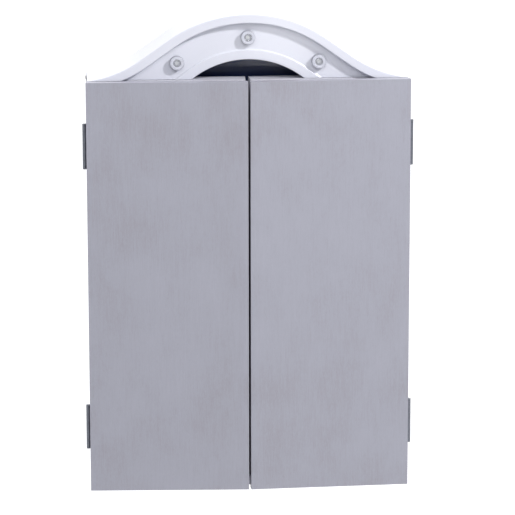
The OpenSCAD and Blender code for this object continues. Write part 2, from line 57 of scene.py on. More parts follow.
class Wire:
    # wraps one socket of a tree, so that sums on it add the nodes
    def __init__(self, tree, socket=None):
        self.tree = tree
        self.socket = socket

    def node(self, kind, settings=None, sockets=None, out=0):
        made = self.tree.nodes.new(kind)
        for name, value in (settings or {}).items():
            if name == "stops":
                setRamp(made.color_ramp, value)
            else:
                setattr(made, name, value)
        for name, value in (sockets or {}).items():
            if isinstance(value, Wire):
                self.tree.links.new(value.socket, made.inputs[name])
            else:
                made.inputs[name].default_value = value
        return Wire(self.tree, made.outputs[out] if made.outputs else made)

    def gather(self, kind, *wires, settings=None, socket="Geometry"):
        # a node with one socket that takes several links
        made = self.node(kind, settings)
        for wire in wires:
            self.tree.links.new(wire.socket, made.socket.node.inputs[socket])
        return made

    def also(self, out):
        return Wire(self.tree, self.socket.node.outputs[out])

    def xyz(self, **parts):
        return self.node("ShaderNodeCombineXYZ", None, parts)

    def calc(self, operation, *values):
        return self.node("ShaderNodeMath", {"operation": operation}, dict(enumerate(values)))

    def __add__(self, other):
        return self.calc("ADD", self, other)

    def __radd__(self, other):
        return self.calc("ADD", other, self)

    def __sub__(self, other):
        return self.calc("SUBTRACT", self, other)

    def __rsub__(self, other):
        return self.calc("SUBTRACT", other, self)

    def __mul__(self, other):
        return self.calc("MULTIPLY", self, other)

    def __rmul__(self, other):
        return self.calc("MULTIPLY", other, self)

    def __truediv__(self, other):
        return self.calc("DIVIDE", self, other)

    def __gt__(self, other):
        return self.calc("GREATER_THAN", self, other)

    def __lt__(self, other):
        return self.calc("LESS_THAN", self, other)

    def band(self, low, high):
        # 0 at low, 1 at high, held outside
        return self.node("ShaderNodeMapRange", {"interpolation_type": "SMOOTHSTEP"},
                         {"Value": self, "From Min": low, "From Max": high})

    def blendColour(self, first, second):
        return self.node("ShaderNodeMix", {"data_type": "RGBA"}, {0: self, 6: first, 7: second}, out=2)


def setRamp(ramp, stops):
    while len(ramp.elements) < len(stops):
        ramp.elements.new(0.5)
    for element, (place, colour) in zip(ramp.elements, stops):
        element.position = place
        element.color = colour


def srgb(red, green, blue):
    def linear(level):
        level /= 255
        return level / 12.92 if level <= 0.04045 else ((level + 0.055) / 1.055) ** 2.4
    return (linear(red), linear(green), linear(blue), 1.0)


def shade(colour, factor):
    return (colour[0] * factor, colour[1] * factor, colour[2] * factor, 1.0)


materials = {}


def newMaterial(name, constants):
    # a Principled shader with its constant sockets set, and a Wire on its tree
    made = bpy.data.materials.new(name)
    made.use_nodes = True
    shader = made.node_tree.nodes["Principled BSDF"]
    for socket, value in constants.items():
        shader.inputs[socket].default_value = value
    materials[name] = made
    return Wire(made.node_tree), shader


def feed(wire, shader, socket, value):
    wire.tree.links.new(value.socket, shader.inputs[socket])


def objectPoint(wire, scale=(1, 1, 1)):
    point = wire.node("ShaderNodeTexCoord", out=3)
    return wire.node("ShaderNodeMapping", None, {"Vector": point, "Scale": scale})


def noise(wire, point, scale, detail=3.0, roughness=0.5):
    return wire.node("ShaderNodeTexNoise", None,
                     {"Vector": point, "Scale": scale, "Detail": detail, "Roughness": roughness})


def bump(wire, shader, height, distance, strength=1.0):
    normal = wire.node("ShaderNodeBump", None,
                       {"Height": height, "Distance": distance, "Strength": strength})
    feed(wire, shader, "Normal", normal)


# ---- mesh helpers

def newObject(name, mesh):
    made = bpy.data.objects.new(name, mesh)
    bpy.context.scene.collection.objects.link(made)
    return made


def meshObject(name, verts, faces):
    mesh = bpy.data.meshes.new(name)
    mesh.from_pydata([tuple(v) for v in verts], [], faces)
    mesh.validate()
    return newObject(name, mesh)


def applied(piece):
    # the evaluated object as a plain mesh, with its modifiers gone
    graph = bpy.context.evaluated_depsgraph_get()
    graph.update()
    mesh = bpy.data.meshes.new_from_object(piece.evaluated_get(graph))
    piece.modifiers.clear()
    old = piece.data
    piece.data = mesh
    if old.users == 0 and isinstance(old, bpy.types.Mesh):
        bpy.data.meshes.remove(old)
    return piece


def addModifier(piece, kind, settings):
    made = piece.modifiers.new(kind.title(), kind)
    for name, value in settings.items():
        setattr(made, name, value)
    return made


def smooth(piece, angle=35):
    for face in piece.data.polygons:
        face.use_smooth = True
    piece.data.set_sharp_from_angle(angle=math.radians(angle))
    return piece


def setMaterial(piece, *names):
    piece.data.materials.clear()
    for name in names:
        piece.data.materials.append(materials[name])
    return piece


def bodyOf(node):
    return next(body for body, members in frame["record"]["behaviour"]["bodies"].items() if node in members)


def settle(piece, node):
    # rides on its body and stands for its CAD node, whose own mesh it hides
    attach(piece, bodyOf(node))
    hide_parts(node)
    return piece


def weldedNode(node):
    shell = bmesh.new()
    shell.from_mesh(nodes[node].data)
    bmesh.ops.remove_doubles(shell, verts=shell.verts, dist=0.01 * mm)
    return shell


def keptMesh(shell, name):
    mesh = bpy.data.meshes.new(name)
    shell.to_mesh(mesh)
    shell.free()
    return mesh


def boxOf(points):
    # lowest and highest corners of some points
    return tuple(Vector([pick(p[i] for p in points) for i in range(3)]) for pick in (min, max))


def easedMesh(node, width, segments):
    # the CAD node's shape with its long edges eased
    shell = weldedNode(node)
    bmesh.ops.dissolve_limit(shell, angle_limit=math.radians(1), verts=shell.verts, edges=shell.edges)
    piece = smooth(newObject(node + "Eased", keptMesh(shell, node)), 32)
    addModifier(piece, "BEVEL", {"width": width, "segments": segments, "limit_method": "ANGLE",
                                 "angle_limit": math.radians(32), "use_clamp_overlap": True})
    addModifier(piece, "WEIGHTED_NORMAL", {"weight": 60, "keep_sharp": True})
    return applied(piece)


def roundedCopy(node, material, width=0.6 * mm, segments=2):
    return settle(setMaterial(easedMesh(node, width, segments), material), node)


def cornerArc(before, corner, after, radius, steps):
    # points of a fillet of that radius at a corner of a flat outline
    back = (Vector(before) - Vector(corner)).normalized()
    ahead = (Vector(after) - Vector(corner)).normalized()
    half = back.angle(ahead) / 2
    if radius <= 0 or half > math.radians(89):
        return [Vector(corner)]
    reach = radius / math.tan(half)
    centre = Vector(corner) + (back + ahead).normalized() * (radius / math.sin(half))
    start = Vector(corner) + back * reach - centre
    end = Vector(corner) + ahead * reach - centre
    points = []
    for i in range(steps + 1):
        share = i / steps
        arm = (start * (1 - share) + end * share).normalized() * radius
        points.append(centre + arm)
    return points


def filleted(corners, steps=4, closed=True):
    # corners are (x, y, fillet radius)
    points = []
    count = len(corners)
    for i, (x, y, radius) in enumerate(corners):
        if not closed and i in (0, count - 1):
            points.append(Vector((x, y)))
            continue
        before = corners[i - 1][:2]
        after = corners[(i + 1) % count][:2]
        points += cornerArc(before, (x, y), after, radius, steps)
    return points


def lathe(name, profile, centre, steps=48):
    # turns a profile of (radius, depth) about the y axis through the centre; depth runs towards -y
    shell = bmesh.new()
    rings = []
    for radius, depth in profile:
        if radius < 1e-7:
            rings.append([shell.verts.new((centre[0], -depth, centre[2]))])
            continue
        ring = []
        for i in range(steps):
            angle = 2 * math.pi * i / steps
            ring.append(shell.verts.new((centre[0] + radius * math.cos(angle), -depth,
                                         centre[2] + radius * math.sin(angle))))
        rings.append(ring)
    for low, high in zip(rings, rings[1:]):
        for i in range(steps):
            corners = list(dict.fromkeys([low[i % len(low)], low[(i + 1) % len(low)],
                                          high[(i + 1) % len(high)], high[i % len(high)]]))
            if len(corners) > 2:
                shell.faces.new(corners)
    bmesh.ops.recalc_face_normals(shell, faces=shell.faces)
    return newObject(name, keptMesh(shell, name))


def joined(name, pieces):
    shell = bmesh.new()
    slots = []
    for piece in pieces:
        first = len(shell.faces)
        remap = []
        for material in piece.data.materials:
            if material not in slots:
                slots.append(material)
            remap.append(slots.index(material))
        shell.from_mesh(piece.data)
        shell.faces.ensure_lookup_table()
        for face in shell.faces[first:]:
            if remap:
                face.material_index = remap[face.material_index]
        bpy.data.objects.remove(piece)
    mesh = keptMesh(shell, name)
    for material in slots:
        mesh.materials.append(material)
    return newObject(name, mesh)


# ---- camera and light

cameraView = {
    "azimuth": -3.9,
    "elevation": 13.0,
    "distance": 5.262,
    "lens": 221.0,
    "sensor": 36.0,
    "shiftX": 0.0159,
    "shiftY": 0.0575,
    "roll": -0.12,
}


def placeCamera():
    low, high = closedBox("left_door_panel", "left")
    target = Vector((0, low.y, (low.z + high.z) / 2))
    azimuth = math.radians(cameraView["azimuth"])
    elevation = math.radians(cameraView["elevation"])
    away = Vector((math.sin(azimuth) * math.cos(elevation), -math.cos(azimuth) * math.cos(elevation),
                   math.sin(elevation)))
    lens = bpy.data.cameras.new("viewpoint")
    lens.lens = cameraView["lens"]
    lens.sensor_width = cameraView["sensor"]
    lens.shift_x = cameraView["shiftX"]
    lens.shift_y = cameraView["shiftY"]
    lens.clip_end = 60
    camera = newObject("viewpoint", lens)
    camera.location = target + away * cameraView["distance"]
    turn = (-away).to_track_quat("-Z", "Y").to_matrix().to_4x4()
    camera.matrix_world = (Matrix.Translation(camera.location) @ turn
                           @ Matrix.Rotation(math.radians(cameraView["roll"]), 4, "Z"))
    bpy.context.scene.camera = camera


def ajarTurn(side):
    # takes a point of the closed door to where it is at rest
    hinge = joints[side + "_door_hinge"]
    pivot = Vector(hinge["pos_m"])
    angle = math.radians(-hinge["range_deg"][0]) * hinge["axis"][2]
    return Matrix.Translation(pivot) @ Matrix.Rotation(angle, 4, "Z") @ Matrix.Translation(-pivot)


def closedBox(node, side):
    # lowest and highest corners of a door's node with the door shut
    back = ajarTurn(side).inverted()
    return boxOf([back @ v.co for v in nodes[node].data.vertices])


lightRig = {
    "worldStrength": 0.50,
    "worldColour": (0.94, 0.96, 1.0, 1.0),
    "key": {"power": 112.0, "size": 0.28, "place": (2.45, -1.85, 2.5)},
    "overhead": {"power": 50.0, "size": 2.4, "place": (0.2, 0.7, 2.9)},
    "frontFill": {"power": 30.0, "size": 1.3, "place": (-0.2, -3.0, 2.2)},
    "gleam": {"power": 1.6, "size": 0.14, "place": (0.30, -3.2, -0.10)},
    "floorDrop": 0.9,
    "sweepBehind": 9.5,
    "sweepBend": 1.2,
    "sweepReach": 14.0,
    "darkFloor": (0.66, 0.66, 0.66, 1),
    "paleFloor": (0.97, 0.97, 0.97, 1),
    "paleRise": 0.5,
    "glowFrom": 0.9,
    "glowTo": 2.4,
    "glow": 0.62,
}


def areaLight(name, rig):
    light = bpy.data.lights.new(name, "AREA")
    light.energy = rig["power"]
    light.size = rig["size"]
    made = newObject(name, light)
    made.location = rig["place"]
    made.rotation_euler = (-Vector(rig["place"])).to_track_quat("-Z", "Y").to_euler()


def placeStudio():
    world = bpy.data.worlds.new("studio")
    world.use_nodes = True
    background = world.node_tree.nodes["Background"]
    background.inputs["Color"].default_value = lightRig["worldColour"]
    background.inputs["Strength"].default_value = lightRig["worldStrength"]
    bpy.context.scene.world = world
    for name in ("key", "overhead", "frontFill", "gleam"):
        areaLight(name, lightRig[name])
    wire, shader = newMaterial("paleFloor", {"Roughness": 0.9, "Emission Strength": lightRig["glow"]})
    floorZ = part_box("bottom_board")[0].z - lightRig["floorDrop"]
    place = wire.node("ShaderNodeSeparateXYZ", None, {"Vector": objectPoint(wire)})
    rise = place.also(2).band(floorZ, floorZ + lightRig["paleRise"])
    tone = rise * 0.9 + noise(wire, objectPoint(wire), 2.0, 2.0) * 0.1
    feed(wire, shader, "Base Color", tone.blendColour(lightRig["darkFloor"], lightRig["paleFloor"]))
    # the floor behind the cabinet glows, so that it stays pale far from the lights
    glow = place.also(1).band(lightRig["glowFrom"], lightRig["glowTo"])
    feed(wire, shader, "Emission Color", glow.blendColour((0, 0, 0, 1), (1, 1, 1, 1)))
    behind = lightRig["sweepBehind"]
    bend = lightRig["sweepBend"]
    half = lightRig["sweepReach"]
    rows = [(-half, floorZ)]
    for i in range(13):
        angle = math.radians(90 * i / 12)
        rows.append((behind - bend + bend * math.sin(angle), floorZ + bend - bend * math.cos(angle)))
    rows.append((behind, floorZ + half))
    verts = [(x, y, z) for y, z in rows for x in (-half, half)]
    faces = [(2 * i, 2 * i + 1, 2 * i + 3, 2 * i + 2) for i in range(len(rows) - 1)]
    sweep = smooth(meshObject("studioFloor", verts, faces), 60)
    setMaterial(sweep, "paleFloor")


placeCamera()
placeStudio()
bpy.context.scene.view_settings.view_transform = "Standard"
print("camera and studio placed")


# ---- finishes

def makeLaminate(name, base, warm):
    # grey paper laminate: fine upright threads over a soft mottle, with a satin sheen
    wire, shader = newMaterial(name, {"Specular IOR Level": 0.55})
    streaks = noise(wire, objectPoint(wire, (420, 420, 26)), 1.0, 3.0, 0.6)
    threads = noise(wire, objectPoint(wire, (900, 900, 150)), 1.0, 2.0, 0.6)
    mottle = noise(wire, objectPoint(wire, (1, 1, 0.7)), 16.0, 4.0, 0.6)
    cloud = noise(wire, objectPoint(wire), 3.2, 3.0, 0.5)
    fleck = noise(wire, objectPoint(wire, (1, 1, 0.4)), 800.0, 2.0)
    tone = streaks * 0.22 + threads * 0.2 + mottle * 0.26 + cloud * 0.2 + fleck * 0.12
    colour = wire.node("ShaderNodeValToRGB", {"stops": [(0.36, shade(warm, 0.88)), (0.50, base),
                                                        (0.66, shade(base, 1.09))]}, {"Fac": tone})
    feed(wire, shader, "Base Color", colour)
    feed(wire, shader, "Roughness", 0.34 + streaks * 0.16 + mottle * 0.12)
    bump(wire, shader, threads * 0.5 + fleck * 0.5, 0.05 * mm, 0.35)


def makeWhitePlastic():
    wire, shader = newMaterial("whitePlastic", {"Coat Weight": 0.22, "Coat Roughness": 0.14})
    point = objectPoint(wire)
    cloud = noise(wire, point, 9.0, 3.0)
    skin = noise(wire, point, 1400.0, 2.0)
    base = srgb(218, 219, 229)
    feed(wire, shader, "Base Color", cloud.blendColour(shade(base, 0.97), base))
    feed(wire, shader, "Roughness", 0.30 + noise(wire, point, 60.0, 3.0) * 0.12)
    bump(wire, shader, skin, 0.02 * mm, 0.35)


def makeNavyPlastic():
    wire, shader = newMaterial("navyPlastic", {"Coat Weight": 0.25, "Coat Roughness": 0.14,
                                               "Specular IOR Level": 0.3})
    point = objectPoint(wire)
    base = srgb(25, 39, 76)
    cloud = noise(wire, point, 14.0, 3.0)
    feed(wire, shader, "Base Color", cloud.blendColour(shade(base, 0.9), shade(base, 1.12)))
    grain = wire.node("ShaderNodeTexVoronoi", {"feature": "F1"}, {"Vector": point, "Scale": 1500.0})
    feed(wire, shader, "Roughness", 0.26 + cloud * 0.14)
    bump(wire, shader, grain, 0.04 * mm, 0.3)


def makeSteel(name, base, roughness, scale=(40, 40, 900)):
    wire, shader = newMaterial(name, {"Metallic": 1.0})
    brushed = noise(wire, objectPoint(wire, scale), 1.0, 3.0, 0.6)
    cloud = noise(wire, objectPoint(wire), 120.0, 4.0, 0.6)
    tone = brushed * 0.5 + cloud * 0.5
    feed(wire, shader, "Base Color", tone.blendColour(shade(base, 0.72), shade(base, 1.15)))
    feed(wire, shader, "Roughness", roughness + brushed * 0.16 + cloud * 0.08)
    bump(wire, shader, brushed, 0.02 * mm, 0.4)


def makePlastic(name, base, roughness=0.45, grain=900.0, coat=0.0):
    wire, shader = newMaterial(name, {"Coat Weight": coat, "Coat Roughness": 0.15})
    point = objectPoint(wire)
    cloud = noise(wire, point, 25.0, 3.0)
    grainWire = noise(wire, point, grain, 2.0)
    feed(wire, shader, "Base Color", cloud.blendColour(shade(base, 0.9), shade(base, 1.1)))
    feed(wire, shader, "Roughness", roughness + cloud * 0.12)
    bump(wire, shader, grainWire, 0.05 * mm, 0.35)


def makeBoard(name, base, roughness=0.7):
    # bare board with fibres along x
    wire, shader = newMaterial(name, {})
    fibre = noise(wire, objectPoint(wire, (30, 400, 400)), 1.0, 4.0, 0.65)
    cloud = noise(wire, objectPoint(wire), 18.0, 4.0)
    tone = fibre * 0.6 + cloud * 0.4
    feed(wire, shader, "Base Color", tone.blendColour(shade(base, 0.7), shade(base, 1.2)))
    feed(wire, shader, "Roughness", roughness + fibre * 0.15)
    bump(wire, shader, fibre, 0.1 * mm, 0.4)


def makeGlass(name, base, alpha, roughness=0.05):
    wire, shader = newMaterial(name, {"IOR": 1.49})
    smear = noise(wire, objectPoint(wire), 90.0, 3.0)
    feed(wire, shader, "Base Color", smear.blendColour(shade(base, 0.94), base))
    feed(wire, shader, "Roughness", roughness + smear * 0.06)
    feed(wire, shader, "Alpha", alpha + smear * 0.04)


makeLaminate("greyLaminate", srgb(160, 160, 171), srgb(161, 158, 167))
# painted light: a lighter copy of the grey laminate for the tray boards, standing in for light that the hood keeps
# off the tray tops
makeLaminate("trayLaminatePaintedLight", srgb(196, 196, 205), srgb(196, 193, 200))
makeWhitePlastic()
makeNavyPlastic()
makeSteel("hingeSteel", srgb(150, 153, 162), 0.30)
makeSteel("zincSteel", srgb(186, 186, 182), 0.30)
makeSteel("platedChrome", srgb(150, 151, 158), 0.10, (60, 60, 60))
plastics = {   # red, green, blue, roughness, coat
    "blackPlastic": (24, 24, 26, 0.42, 0.0),
    "segmentBlack": (22, 22, 24, 0.38, 0.0),
    "segmentIvory": (228, 220, 196, 0.38, 0.0),
    "segmentRed": (176, 26, 30, 0.36, 0.0),
    "segmentGreen": (16, 116, 62, 0.36, 0.0),
    "webSilver": (168, 170, 174, 0.30, 0.3),
    "buttonGrey": (196, 198, 204, 0.34, 0.2),
    "buttonRed": (176, 28, 30, 0.30, 0.3),
    "coverWhite": (222, 222, 226, 0.5, 0.0),
    "moduleGrey": (62, 62, 66, 0.5, 0.0),
    "catchBrown": (86, 60, 42, 0.5, 0.0),
    "padRubber": (52, 52, 54, 0.75, 0.0),
    "filmGrey": (186, 196, 204, 0.25, 0.0),
    "circuitGreen": (14, 92, 52, 0.35, 0.4),
    "numberWhite": (236, 236, 238, 0.4, 0.0),
    # painted shade: the dark grey outline round the outer edge of each lamp bezel
    "bezelEdgeShade": (150, 152, 162, 0.3, 0.3),
    "diodeClear": (236, 235, 226, 0.2, 0.5),
}
for name, (red, green, blue, roughness, coat) in plastics.items():
    makePlastic(name, srgb(red, green, blue), roughness, coat=coat)
makeBoard("hardboard", srgb(120, 92, 68))
makeBoard("pine", srgb(206, 172, 122), 0.6)
makeGlass("clearLens", srgb(235, 238, 246), 0.25)
makeGlass("smokedWindow", srgb(14, 14, 18), 0.62)
print("finishes made:", len(materials))


# ---- hood

hood = {
    "crownRadius": 225 * mm,
    "slope": 35,
    "footSlope": 6,
    "footHeight": 1.3 * mm,
    "rimWidth": 16 * mm,
    "bandWidth": 76 * mm,
    "lipWidth": 16 * mm,
    "lipRise": 3 * mm,
    "channelDepth": 11 * mm,
    "slant": 0.7 * mm,
    "wall": 3 * mm,
    "rimRound": 2 * mm,
    "floorRound": 2 * mm,
    "lipRound": 1.2 * mm,
    "crownSteps": 40,
    "footSteps": 30,
}


def archPath():
    # points of the outline with their inward directions, from the left foot to the right
    low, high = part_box("hood_shell")
    top = low.z
    half = high.x
    radius = hood["crownRadius"]
    slope = math.radians(hood["slope"])
    foot = math.radians(hood["footSlope"])
    crownMid = high.z - radius
    shoulderX = radius * math.sin(slope)
    shoulderZ = crownMid + radius * math.cos(slope)
    footZ = top + hood["footHeight"]
    footRadius = ((shoulderZ - math.tan(slope) * (half - shoulderX) - footZ)
                  / (math.cos(foot) - math.cos(slope) - math.tan(slope) * (math.sin(slope) - math.sin(foot))))
    footX = half + footRadius * math.sin(foot)
    footMid = footZ + footRadius * math.cos(foot)
    right = []
    for i in range(hood["crownSteps"] + 1):
        angle = slope * i / hood["crownSteps"]
        right.append(((radius * math.sin(angle), crownMid + radius * math.cos(angle)), angle))
    for i in range(hood["footSteps"] + 1):
        angle = slope + (foot - slope) * i / hood["footSteps"]
        right.append(((footX - footRadius * math.sin(angle), footMid - footRadius * math.cos(angle)), angle))
    path = [((-x, z), -angle) for (x, z), angle in reversed(right[1:])] + right
    return [(Vector((x, z)), Vector((-math.sin(angle), -math.cos(angle)))) for (x, z), angle in path]


def makeHood():
    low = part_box("hood_shell")[0]
    front = -low.y
    faceDepth = -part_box("fascia")[0].y
    wall = hood["wall"]
    floor = front - hood["channelDepth"]
    lip = floor + hood["lipRise"]
    rim = hood["rimWidth"]
    band = hood["bandWidth"]
    lipStart = band - hood["lipWidth"]
    slant = hood["slant"]
    corners = [
        (0, 0, 0), (0, front, hood["rimRound"]), (rim - slant, front, hood["rimRound"]),
        (rim, floor, hood["floorRound"]), (lipStart - slant, floor, hood["floorRound"]),
        (lipStart + slant, lip, hood["lipRound"]), (band, lip, hood["lipRound"]),
        (band, faceDepth, 0), (band - wall, faceDepth, 0), (band - wall, floor - wall, 1 * mm),
        (rim - wall, floor - wall, 1 * mm), (rim - wall - slant, front - wall, 1 * mm),
        (wall, front - wall, 2 * mm), (wall, 0, 0)]
    profile = filleted(corners, 6)
    path = archPath()
    shell = bmesh.new()
    rows = []
    for point, inward in path:
        row = []
        for across, depth in profile:
            place = point + inward * across
            row.append(shell.verts.new((place.x, -depth, place.y)))
        rows.append(row)
    count = len(profile)
    for first, second in zip(rows, rows[1:]):
        for i in range(count):
            shell.faces.new((first[i], first[(i + 1) % count], second[(i + 1) % count], second[i]))
    shell.faces.new(rows[0])
    shell.faces.new(list(reversed(rows[-1])))
    bmesh.ops.recalc_face_normals(shell, faces=shell.faces)
    cut = bmesh.ops.bisect_plane(shell, geom=shell.verts[:] + shell.edges[:] + shell.faces[:],
                                 plane_co=(0, 0, low.z), plane_no=(0, 0, -1), clear_outer=True)
    rimEdges = [e for e in cut["geom_cut"] if isinstance(e, bmesh.types.BMEdge)]
    bmesh.ops.holes_fill(shell, edges=rimEdges, sides=0)
    bmesh.ops.triangulate(shell, faces=[f for f in shell.faces if len(f.verts) > 4])
    bmesh.ops.remove_doubles(shell, verts=shell.verts, dist=0.002 * mm)
    bmesh.ops.recalc_face_normals(shell, faces=shell.faces)
    piece = smooth(newObject("archHood", keptMesh(shell, "archHood")), 30)
    addModifier(piece, "WEIGHTED_NORMAL", {"weight": 60, "keep_sharp": True})
    applied(piece)
    setMaterial(piece, "whitePlastic")
    return settle(piece, "hood_shell")


makeHood()
print("hood swept")


# ---- lamps

lamp = {
    "rise": 8 * mm,
    "radius": 12 * mm,
    "lensRadius": 6.4 * mm,
    "edgeRound": 1.2 * mm,
    "grooves": ((10.1 * mm, 0.9 * mm, 1.3 * mm), (7.6 * mm, 0.6 * mm, 0.9 * mm)),
    "domeRise": 1.2 * mm,
    # width of the darker outer ring of each bezel, a painted shade outline
    "shadeRingWidth": 0.8 * mm,
    "facets": 18,
}


def lampPlaces():
    # centres of the three lamps, read from the bezels' mesh
    low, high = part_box("lamp_bezels")
    radius = lamp["radius"]
    top = Vector((0, 0, high.z - radius))
    return [Vector((low.x + radius, 0, low.z + radius)), top, Vector((high.x - radius, 0, low.z + radius))]


def makeLamps():
    front = -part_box("lamp_bezels")[0].y
    base = front - lamp["rise"]
    outer = lamp["radius"]
    inner = lamp["lensRadius"] + 0.1 * mm
    bezels = []
    reflectors = []
    lenses = []
    for place in lampPlaces():
        corners = [(inner, base + 1 * mm, 0), (inner, front, 0.5 * mm)]
        for middle, wide, deep in reversed(lamp["grooves"]):
            corners += [(middle - wide / 2, front, 0.2 * mm), (middle - wide / 3, front - deep, 0.15 * mm),
                        (middle + wide / 3, front - deep, 0.15 * mm), (middle + wide / 2, front, 0.2 * mm)]
        corners += [(outer - 0.2 * mm, front, lamp["edgeRound"]), (outer, base - 0.4 * mm, 0)]
        profile = filleted(corners, 3, closed=False)
        bezel = smooth(setMaterial(lathe("bezel", profile, place, 64), "whitePlastic", "bezelEdgeShade"))
        # painted shade: faces near the outer edge of each bezel, its side wall included, take a darker grey, an
        # outline standing in for the shade round the bezel
        for face in bezel.data.polygons:
            reach = math.hypot(face.center.x - place.x, face.center.z - place.z)
            face.material_index = int(reach > outer - lamp["shadeRingWidth"])
        bezels.append(bezel)
        cone = [(3.1 * mm, base + 2 * mm), (4.2 * mm, base + 2.3 * mm), (5.6 * mm, base + 3.8 * mm),
                (inner - 0.15 * mm, base + 6 * mm), (inner - 0.05 * mm, base + 6 * mm),
                (3.2 * mm, base + 1.6 * mm), (3.1 * mm, base + 2 * mm)]
        reflector = lathe("reflector", cone, place, lamp["facets"])
        reflectors.append(smooth(setMaterial(reflector, "platedChrome"), 10))
        rise = lamp["domeRise"]
        lensRadius = lamp["lensRadius"]
        dome = []
        for degrees in range(0, 91, 10):
            angle = math.radians(degrees)
            dome.append((lensRadius * math.sin(angle), front - 1.4 * mm - rise + rise * (1 + math.cos(angle))))
        dome += [(lensRadius, front - 2.2 * mm), (0, front - 2.2 * mm)]
        lenses.append(smooth(setMaterial(lathe("lens", dome, place, 48), "clearLens")))
    settle(joined("lampBezels", bezels), "lamp_bezels")
    settle(joined("lampReflectors", reflectors), "lamp_reflectors")
    settle(joined("lampLenses", lenses), "lamp_lenses")


makeLamps()
print("lamps turned")


# ---- doors and boards

board = {"edge": 0.5 * mm, "segments": 3}

for node in ["left_door_panel", "right_door_panel", "side_board_left", "side_board_right", "bottom_board",
             "top_rail"]:
    roundedCopy(node, "greyLaminate", board["edge"], board["segments"])
# the tray boards take the lighter copy of the laminate, painted light for their shaded tops
for node in ["left_tray_rails", "right_tray_rails", "left_tray_stiles", "right_tray_stiles"]:
    roundedCopy(node, "trayLaminatePaintedLight", board["edge"], board["segments"])
roundedCopy("back_board", "hardboard", 0.3 * mm)
roundedCopy("fascia_battens", "pine", 0.5 * mm)
print("boards eased")


# ---- trees that repeat a shape

def newTree(name, inputs):
    tree = bpy.data.node_groups.new(name, "GeometryNodeTree")
    tree.interface.new_socket("Geometry", in_out="INPUT", socket_type="NodeSocketGeometry")
    for label, kind in inputs.items():
        tree.interface.new_socket(label, in_out="INPUT", socket_type="NodeSocket" + kind)
    tree.interface.new_socket("Geometry", in_out="OUTPUT", socket_type="NodeSocketGeometry")
    source = tree.nodes.new("NodeGroupInput")
    sink = tree.nodes.new("NodeGroupOutput")
    given = {socket.name: Wire(tree, socket) for socket in source.outputs if socket.name}
    return tree, given, Wire(tree), sink


def close(start, geometry, material, sink):
    real = start.node("GeometryNodeRealizeInstances", None, {"Geometry": geometry})
    dressed = start.node("GeometryNodeSetMaterial", None, {"Geometry": real, "Material": material})
    start.tree.links.new(dressed.socket, sink.inputs["Geometry"])


def grow(piece, tree, values):
    # runs a tree on a piece and keeps the result as its mesh
    grower = piece.modifiers.new(tree.name, "NODES")
    grower.node_group = tree
    for item in tree.interface.items_tree:
        if item.in_out == "INPUT" and item.name in values:
            grower[item.identifier] = values[item.name]
    return applied(piece)


